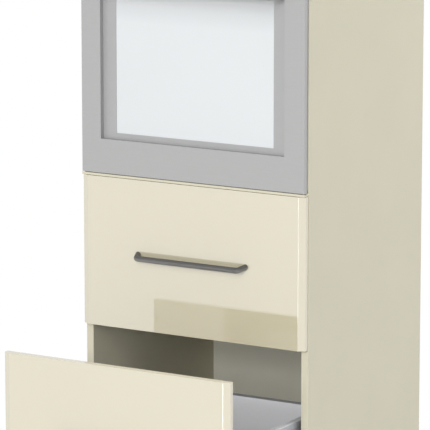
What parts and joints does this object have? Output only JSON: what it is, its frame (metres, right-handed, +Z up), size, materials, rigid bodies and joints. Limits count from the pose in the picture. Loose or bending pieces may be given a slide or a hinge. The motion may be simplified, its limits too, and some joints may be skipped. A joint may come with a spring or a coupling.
{
  "type": "tall kitchen cabinet with built-in oven",
  "caption": "Tall kitchen cabinet with a built-in oven over deep pull-out drawers, the lowest standing open, and a hinged door above.",
  "frame": {"origin": "on the floor, under the middle of the carcass", "axes": "+Z up, -Y towards the front, +X to the right seen from the front"},
  "size_m": [0.6, 0.9495, 2],
  "materials": {
    "carcass_board": "satin",
    "hardboard": "matte",
    "zinc_steel": "satin",
    "front_lacquer": "gloss",
    "handle_steel": "satin",
    "drawer_metal": "satin",
    "drawer_board": "satin",
    "oven_steel": "satin",
    "oven_grey": "satin",
    "window_glass": "gloss",
    "oven_glass": "gloss",
    "enamel": "gloss",
    "chrome_wire": "polished",
    "element_steel": "matte",
    "seal_rubber": "matte",
    "black_plastic": "matte",
    "knob_metal": "satin",
    "lamp_lens": "gloss"
  },
  "bodies": {
    "cabinet": {"side_panel_left": "carcass_board", "side_panel_right": "carcass_board", "bottom_panel": "carcass_board", "oven_shelf": "carcass_board", "niche_top_panel": "carcass_board", "top_panel": "carcass_board", "adjustable_shelf": "carcass_board", "wall_rail": "carcass_board", "plinth_board": "carcass_board", "back_panel_lower": "hardboard", "back_panel_upper": "hardboard", "cam_fittings": "zinc_steel", "carcass_screws": "zinc_steel", "cabinet_runners": "zinc_steel", "hinge_arms": "zinc_steel", "oven_hinge_arms": "zinc_steel", "oven_casing": "zinc_steel", "oven_front_plate": "zinc_steel", "shelf_pins": "zinc_steel", "control_panel": "oven_steel", "oven_cavity": "enamel", "baking_tray": "enamel", "rack_ladders": "chrome_wire", "wire_rack": "chrome_wire", "grill_element": "element_steel", "door_gasket": "seal_rubber", "leg_sockets": "black_plastic", "leg_feet": "black_plastic", "plinth_clips": "black_plastic", "terminal_box": "black_plastic", "oven_switches": "black_plastic", "pilot_lamps": "lamp_lens"},
    "upper_door": {"upper_door": "front_lacquer", "upper_door_handle": "handle_steel", "upper_door_fixings": "zinc_steel"},
    "middle_drawer": {"middle_drawer_front": "front_lacquer", "middle_drawer_handle": "handle_steel", "middle_drawer_sides": "drawer_metal", "middle_drawer_floor": "drawer_board", "middle_drawer_back": "drawer_board", "middle_drawer_members": "zinc_steel", "middle_drawer_fixings": "zinc_steel"},
    "middle_drawer_rails": {"middle_drawer_middle_members": "zinc_steel"},
    "lower_drawer": {"lower_drawer_front": "front_lacquer", "lower_drawer_handle": "handle_steel", "lower_drawer_sides": "drawer_metal", "lower_drawer_floor": "drawer_board", "lower_drawer_back": "drawer_board", "lower_drawer_members": "zinc_steel", "lower_drawer_fixings": "zinc_steel"},
    "lower_drawer_rails": {"lower_drawer_middle_members": "zinc_steel"},
    "oven_door": {"oven_door_frame": "oven_steel", "oven_door_inset": "oven_grey", "oven_door_window": "window_glass", "oven_door_carrier": "zinc_steel", "oven_door_inner_pane": "oven_glass", "oven_door_handle": "handle_steel"},
    "function_knob": {"function_knob": "knob_metal"},
    "temperature_knob": {"temperature_knob": "knob_metal"}
  },
  "joints": [
    {"name": "upper_door_hinge", "type": "hinge", "parent": "cabinet", "child": "upper_door", "pos_m": [-0.2945, -0.2915, 1.7375], "axis": [0, 0, -1], "range_deg": [0, 95]},
    {"name": "middle_drawer_slide", "type": "slide", "parent": "cabinet", "child": "middle_drawer", "axis": [0, -1, 0], "range_m": [0, 0.48]},
    {"name": "middle_drawer_rails_slide", "type": "slide", "parent": "cabinet", "child": "middle_drawer_rails", "axis": [0, -1, 0], "range_m": [0, 0.24]},
    {"name": "lower_drawer_slide", "type": "slide", "parent": "cabinet", "child": "lower_drawer", "axis": [0, -1, 0], "range_m": [-0.338, 0.142]},
    {"name": "lower_drawer_rails_slide", "type": "slide", "parent": "cabinet", "child": "lower_drawer_rails", "axis": [0, -1, 0], "range_m": [-0.169, 0.071]},
    {"name": "oven_door_hinge", "type": "hinge", "parent": "cabinet", "child": "oven_door", "pos_m": [0, -0.292, 0.885], "axis": [1, 0, 0], "range_deg": [0, 90], "stiffness_Nm_per_rad": 12, "springref_deg": -5.73},
    {"name": "function_knob_turn", "type": "hinge", "parent": "cabinet", "child": "function_knob", "pos_m": [-0.165, -0.2995, 1.419], "axis": [0, 1, 0], "continuous": true},
    {"name": "temperature_knob_turn", "type": "hinge", "parent": "cabinet", "child": "temperature_knob", "pos_m": [0.165, -0.2995, 1.419], "axis": [0, 1, 0], "range_deg": [0, 270]}
  ],
  "couplings": [
    {"joint": "middle_drawer_rails_slide", "follows": "middle_drawer_slide", "ratio": 0.5},
    {"joint": "lower_drawer_rails_slide", "follows": "lower_drawer_slide", "ratio": 0.5}
  ]
}
